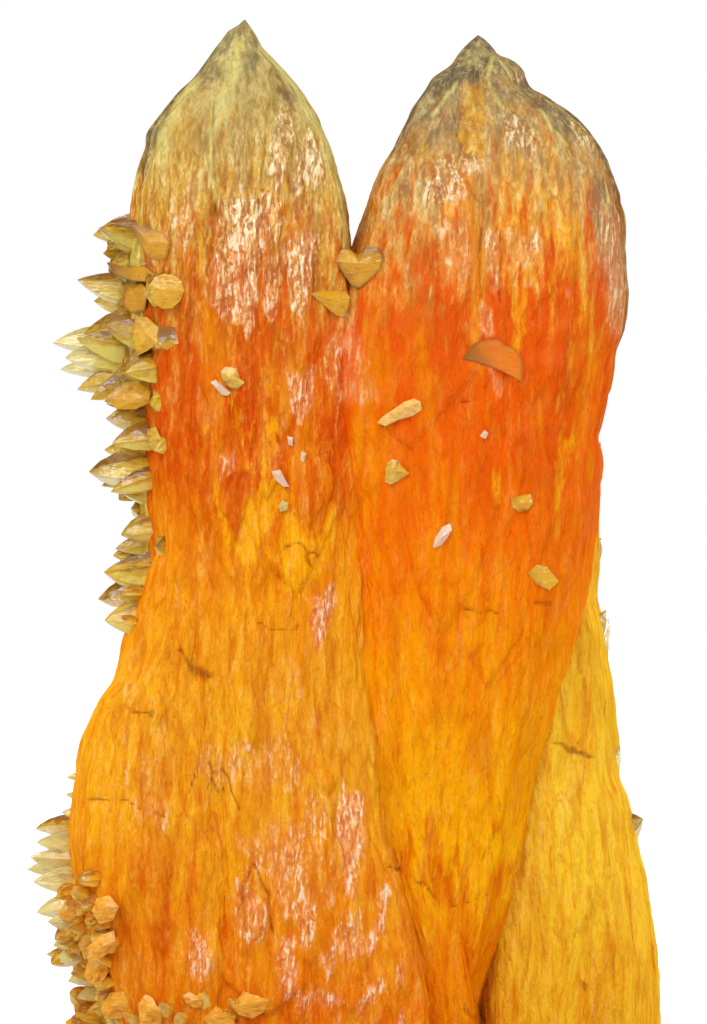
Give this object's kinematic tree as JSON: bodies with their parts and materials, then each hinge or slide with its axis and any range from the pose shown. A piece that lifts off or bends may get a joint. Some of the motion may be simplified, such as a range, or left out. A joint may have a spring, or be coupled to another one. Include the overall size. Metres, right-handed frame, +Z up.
{
  "type": "calcite crystal specimen",
  "caption": "Upright cluster of translucent orange dogtooth calcite crystals with a crust of small pale crystals down one flank, cut flat at the foot.",
  "frame": {"origin": "centre of the bounding box at the flat cut foot", "axes": "+Z up along the long crystals, +X to the viewer's right, -Y towards the viewer"},
  "size_m": [0.0638, 0.0328, 0.1044],
  "materials": {
    "calcite": "translucent, glossy and finely ribbed"
  },
  "bodies": {
    "root": {"calcite_crystals": "calcite"}
  },
  "joints": []
}
